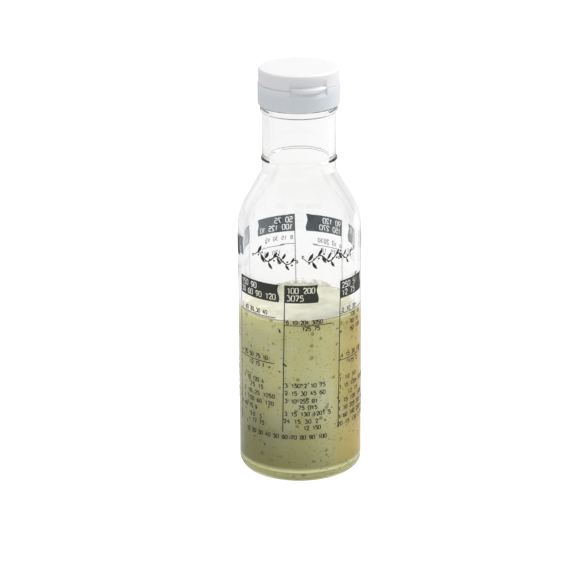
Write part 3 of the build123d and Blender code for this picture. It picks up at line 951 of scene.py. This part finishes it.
closure = {
    "radius": 20.4, "bottom": 190.498, "bottomRound": 0.8, "seam": 201.302, "edgeRound": 0.18,
    "skirtInner": 19.05, "skirtHead": 198.502, "linerRoom": 18.4, "deckFoot": 200.202,
    "deckTop": 201.502, "collarRadius": 18.1, "collarInner": 16.9, "collarTop": 202.402,
    "spoutOuter": 5.3, "spoutBore": 4.2, "spoutTop": 205.502,
    "threadLow": 191.658, "threadFoot": 1.8, "threadCrest": 0.9, "threadDepth": 1.2, "threadLead": 60.0,
    # the thumb recess: angles in degrees, heights from the seam
    "recessHalf": 27.4, "recessDepth": 0.9, "recessSill": 1.3, "recessDrop": 3.9, "recessSoft": 1.2,
    "columns": 200,
}
lid = {
    "radius": 20.0, "foot": 201.38, "top": 209.002, "topRound": 1.0, "wallInner": 18.4,
    "ceiling": 207.502, "plugRadius": 4.12, "plugTip": 3.77, "plugInner": 3.07, "plugFoot": 203.902,
    "scoopTop": 207.2, "scoopFoot": 202.7, "scoopDepth": 1.0,
}
thumbTab = {
    "half": 28.4, "flat": 9.0, "proud": 0.95, "radius": 15.0,
    "slopeTop": 203.1, "brow": 201.95, "low": 200.15,
    "clear": 19.75, "root": 18.7, "shelf": 201.6, "edge": 0.3, "tuck": 0.35, "tuckRun": 1.4,
    "thinnest": 0.04, "endRun": 1.2,
}


def frontAngles():
    # Angles all round, with more at both ends of the thumb recess, and 1 inside it, 0 outside.
    half = closure["recessHalf"]
    ends = np.radians([half, -half])
    angle = ringAngles(closure["columns"], ends, math.radians(1.6), 9)
    return angle, windowOf(fromFront(angle)[None], -half, half, closure["recessSoft"])


def makeCapBase():
    # A closed profile turned about the axis: at the front the radius goes in by the recess, whose
    # sill slopes as 3 t^2 - 2 t^3, and inside the skirt the thread's depth comes off the radius.
    c = named(closure)
    path = roundedPath([
        (c.skirtInner, c.bottom, 0.3),
        (c.radius, c.bottom, c.bottomRound),
        (c.radius, c.seam, c.edgeRound),
        (c.collarRadius, c.seam, 0.15),
        (c.collarRadius, c.collarTop, 0.25),
        (c.collarInner, c.collarTop, 0.25),
        (c.collarInner, c.deckTop, 0.3),
        (c.spoutOuter, c.deckTop, 0.5),
        (c.spoutOuter, c.spoutTop, 0.4),
        (c.spoutBore, c.spoutTop, 0.4),
        (c.spoutBore, c.deckFoot, 0.3),
        (c.linerRoom, c.deckFoot, 0.2),
        (c.linerRoom, c.skirtHead, 0.15),
        (c.skirtInner, c.skirtHead, 0.15),
    ], True, 6)
    path = np.vstack([path, path[:1]])
    onSide = (path[:-1, 0] > c.skirtInner - 0.1) & (path[:-1, 0] < c.radius + 0.1)
    path = splitLong(path, np.where(onSide, 0.25, 3.0))[:-1]
    angle, inFront = frontAngles()
    radius, height = path[:, :1], path[:, 1:]
    outer = radius > c.skirtInner + 0.5
    depth = c.recessDepth * smooth(height, c.seam - c.recessDrop, c.seam - c.recessSill)
    cut = np.minimum(radius, c.radius - depth)
    shaped = radius + (cut - radius) * inFront * outer
    ridge = threadRidge(height, angle[None] - np.pi / 2, c.threadLow, bottle["threadPitch"],
                        c.threadFoot, c.threadCrest, c.threadDepth, c.threadLead)
    inner = (abs(radius - c.skirtInner) < 0.05) & (height < c.skirtHead - 0.1)
    turnedPiece("closureBase", shaped - ridge * inner, height, angle, plasticLook, "cap",
                "cap_base", True)


def makeLid():
    # A turned profile, from the middle of the top outside to that of the ceiling, with a scoop at
    # the front that deepens towards its foot.
    c, d = named(closure), named(lid)
    path = roundedPath([
        (0, d.top, 0),
        (d.radius, d.top, d.topRound),
        (d.radius, d.foot, 0.12),
        (d.wallInner, d.foot, 0.2),
        (d.wallInner, d.ceiling, 0.6),
        (d.plugRadius, d.ceiling, 0.3),
        (d.plugRadius, c.spoutTop, 0.3),
        (d.plugTip, d.plugFoot, 0.3),
        (d.plugInner, d.plugFoot, 0.25),
        (d.plugInner, d.ceiling, 0.3),
        (0, d.ceiling, 0),
    ], False, 6)
    onSide = (path[:-1, 0] > d.radius - 0.25) & (abs(path[:-1, 1] - d.foot - 3.6) < 3.5)
    path = splitLong(path, np.where(onSide, 0.11, 3.0))
    angle, inFront = frontAngles()
    radius, height = path[:, :1], path[:, 1:]
    outer = (radius > d.radius - 0.3) & (height < d.top - 0.8)
    depth = d.scoopDepth * (1 - smooth(height, d.scoopFoot, d.scoopTop))
    shaped = np.where(outer, radius - depth * inFront, radius)
    turnedPiece("flipLid", shaped, height, angle, plasticLook, "lid", "flip_lid")


def makeThumbTab():
    # A crescent under the thumb: a rounded section carried round the front. Its outer edge is a
    # smaller circle, r = m cos a + sqrt(q^2 - (m sin a)^2), and the section's front follows it.
    # Its low edge rises towards both ends, which run into the lid's wall.
    t = named(thumbTab)
    most = lid["radius"] + t.proud
    section = splitLong(roundedPath([
        (t.root, t.slopeTop, 0.15), (most, t.brow, 0.4), (most, t.low, t.edge),
        (t.clear, t.low, 0.2), (t.clear, t.shelf, 0.12), (t.root, t.shelf, 0.1),
    ], True, 5), 0.3)
    degrees = np.linspace(-t.half, t.half, 91)[:, None]
    angle = np.radians(degrees)
    middle = most - t.radius
    edge = middle * np.cos(angle) + np.sqrt(t.radius ** 2 - (middle * np.sin(angle)) ** 2)
    edge = edge - t.tuck * smooth(abs(degrees), t.half - t.tuckRun, t.half)
    share = (edge - t.clear) / (most - t.clear)
    past = np.maximum(section[:, 0] - t.clear, 0)
    radius = section[:, 0] + past * (share - 1)
    under = (t.shelf - section[:, 1]) / (t.shelf - t.low)
    lift = (t.shelf - t.thinnest - t.low) * smooth(abs(degrees), t.flat, t.half - t.endRun)
    height = section[:, 1] + np.clip(under, 0, 1) * lift
    points = withCaps(around(radius, angle, height))
    newPiece("thumbTab", points, gridFaces(*points.shape[:2]), plasticLook, "lid")


def withCaps(rows):
    # Closes a tube of rows: a row drawn in to its own middle is added at each end.
    caps = rows[[0, -1]].mean(1, keepdims=True) + 0 * rows[[0, -1]]
    return np.concatenate([caps[:1], rows, caps[1:]])


hinge = {
    "lugInner": 2.8, "lugOuter": 7.0, "lugFoot": 18.36, "face": 20.9, "lugHeight": 1.8,
    "padHalf": 2.2, "padFoot": 19.6, "padHeight": 1.7, "edge": 0.28,
    "filmRadius": 0.35, "filmThick": 0.3, "strapRadius": 1.4, "strapThick": 0.5,
    "stripRound": 0.12, "stripSunk": 0.25,
}


def makeLugs(name, body, low):
    # The ledges that carry the films, and the pad between them, on one half of the closure.
    h, seam = named(hinge), closure["seam"]
    film, strap = h.filmRadius - h.filmThick / 2, h.strapRadius - h.strapThick / 2
    shapes = []
    for left, right, foot, gap, tall in (
            (h.lugInner, h.lugOuter, h.lugFoot, film, h.lugHeight),
            (-h.lugOuter, -h.lugInner, h.lugFoot, film, h.lugHeight),
            (-h.padHalf, h.padHalf, h.padFoot, strap, h.padHeight)):
        span = (seam - gap - tall, seam - gap) if low else (seam + gap, seam + gap + tall)
        shapes.append(blockShape((left, foot, span[0]), (right, h.face, span[1]), h.edge))
    points, faces = joined(shapes)
    newPiece(name, points, faces, plasticLook, body)


def makeStrip(name, node, kind, low, high):
    # A thin strip bowed half round the seam: a rounded rectangle carried along a half circle,
    # y = face + r cos t, z = seam + r sin t, with both ends run a little into the ledges.
    h, seam, radius = named(hinge), closure["seam"], hinge[kind + "Radius"]
    turn = np.linspace(-np.pi / 2, np.pi / 2, 17)
    loop = sectionLoop(high - low, hinge[kind + "Thick"], h.stripRound, 3)
    arm = radius + loop[None, :, 1]
    y = h.face + arm * np.cos(turn)[:, None]
    z = seam + arm * np.sin(turn)[:, None]
    x = np.broadcast_to((low + high) / 2 + loop[None, :, 0], y.shape)
    body = np.stack([x, y, z], -1)
    ends = body[[0, -1]] - [0, h.stripSunk, 0]
    points = withCaps(np.concatenate([ends[:1], body, ends[1:]]))
    piece = newPiece(name, points, gridFaces(*points.shape[:2]), plasticLook, None)
    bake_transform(piece)
    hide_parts(node)


liner = {"inner": 15.2, "outer": 18.2, "edge": 0.2, "columns": 120}


def makeLiner():
    # A rounded rectangle turned about the axis, between the bottle's land and the deck.
    low, high, edge = bottle["land"], closure["deckFoot"], liner["edge"]
    path = roundedPath([(liner["inner"], low, edge), (liner["outer"], low, edge),
                        (liner["outer"], high, edge), (liner["inner"], high, edge)], True, 4)
    angle = ringAngles(liner["columns"])
    turnedPiece("linerRing", path[:, :1], path[:, 1:], angle, linerMaterial(), "liner",
                "sealing_liner", True)


makeCapBase()
makeLid()
makeThumbTab()
makeLugs("hingeLugsBase", "cap", True)
makeLugs("hingeLugsLid", "lid", False)
makeStrip("filmRight", "hinge_film_right", "film", hinge["lugInner"], hinge["lugOuter"])
makeStrip("filmLeft", "hinge_film_left", "film", -hinge["lugOuter"], -hinge["lugInner"])
makeStrip("snapStrap", "snap_strap", "strap", -hinge["padHalf"], hinge["padHalf"])
makeLiner()
print("stage 6: the closure is made")


studio = {
    "lens": 163.4, "distance": 1245.0, "height": 528.7,
    "pitch": 0.3359, "roll": -0.35, "swing": -15.0, "aside": 12.4, "focal": 2614.0,
    "worldLow": 0.42, "worldHigh": 0.93, "darkSide": (0.966, -0.259, 0.0),
    "sideFall": 0.35, "topFall": 0.45,
    "paper": (0.45, 0.45, 0.45, 1), "paperGlow": 0.62, "glassGlow": 0.49, "floorHalf": 2500.0,
    "floorDrop": 0.15,
    "keyPower": 18.5, "keySize": 900, "keyPlace": (1250, 0, 1380),
}


def makeCamera():
    # Stands at distance and height, swung about the bottle's axis. It looks down by pitch, and past
    # the axis by atan(aside / focal).
    w = named(studio)
    swing = math.radians(w.swing)
    data = bpy.data.cameras.new("camera")
    data.sensor_width = 36.0
    data.lens = w.lens
    data.clip_end = 50
    camera = placed("camera", data)
    camera.location = around(w.distance, swing, w.height) * mm
    yaw = swing + math.atan(w.aside / w.focal)
    tilt, roll = turnAbout("X", math.pi / 2 - w.pitch), turnAbout("Z", math.radians(w.roll))
    turn = turnAbout("Z", yaw) @ tilt @ roll
    camera.rotation_euler = turn.to_euler()
    bpy.context.scene.camera = camera


def turnAbout(axis, turn):
    # A turn about one axis, as a matrix of 3 by 3.
    return Matrix.Rotation(turn, 3, axis)


def rayKinds(start):
    # Two masks: the camera's rays, and those that gloss or glass sends on.
    path = start.node("ShaderNodeLightPath")
    shiny = path.output("Is Glossy Ray").maths("MAXIMUM", path.output("Is Transmission Ray"))
    return path.output("Is Camera Ray"), shiny


def makeWorld():
    # Lights by height: low + (high - low) * smoothstep of the direction's z. Glass and gloss see
    # white, less on one side and overhead, where a studio has its dark walls.
    w = named(studio)
    world = bpy.data.worlds.new("studioWorld")
    bpy.context.scene.world = world
    world.use_nodes = True
    world.node_tree.nodes.clear()
    start = Wire(world.node_tree)
    way = start.node("ShaderNodeTexCoord")
    up = way.part(2)
    light = up.step(0.0, 0.9) * (w.worldHigh - w.worldLow) + w.worldLow
    aside = way.vector("DOT_PRODUCT", w.darkSide, 1)
    seen = 1.0 - aside.step(0.25, 0.95) * w.sideFall - up.step(0.3, 0.8) * w.topFall
    direct, shiny = rayKinds(start)
    level = light + (seen - light) * shiny
    level = level + (1.0 - level) * direct
    back = start.node("ShaderNodeBackground", None, {"Color": (1, 1, 1, 1), "Strength": level})
    start.node("ShaderNodeOutputWorld", None, {"Surface": back})


def makeFloor():
    # A level sheet just under the bottle, of pale paper that also glows to the camera and in glass.
    w = named(studio)
    side = np.linspace(-w.floorHalf, w.floorHalf, 9)
    x, y = np.meshgrid(side, side)
    points = np.stack([x, y, x * 0 - w.floorDrop], -1).reshape(-1, 3)
    material, place = newMaterial("floorPale")
    direct, shiny = rayKinds(place)
    seen = direct * w.paperGlow + shiny * w.glassGlow
    paper = place.node("ShaderNodeBsdfDiffuse", None, {"Color": w.paper})
    glow = place.node("ShaderNodeEmission", None, {"Color": (1, 1, 1, 1), "Strength": seen})
    both = place.node("ShaderNodeAddShader", None, {0: paper, 1: glow})
    place.node("ShaderNodeOutputMaterial", None, {"Surface": both})
    mesh = bpy.data.meshes.new("floor")
    mesh.from_pydata(points * mm, [], gridFaces(9, 9, False, False))
    mesh.materials.append(material)
    placed("floor", mesh)


def makeLamp(name, power, size, place, target=(0, 0, 100)):
    # A round lamp whose -Z axis looks from its place to the target.
    data = bpy.data.lights.new(name, "AREA")
    data.shape = "DISK"
    data.size = size * mm
    data.energy = power
    lamp = placed(name, data)
    lamp.location = Vector(place) * mm
    lamp.rotation_euler = (Vector(target) - Vector(place)).to_track_quat("-Z", "Y").to_euler()


makeCamera()
makeWorld()
makeFloor()
makeLamp("keyLamp", studio["keyPower"], studio["keySize"], studio["keyPlace"])
bpy.context.scene.view_settings.view_transform = "Standard"
# enough reflections inside the glass wall for its edges to stay clear
bpy.context.scene.cycles.max_bounces = 24
bpy.context.scene.cycles.transmission_bounces = 24
bpy.context.scene.cycles.glossy_bounces = 9
print("stage 7: the studio is made")
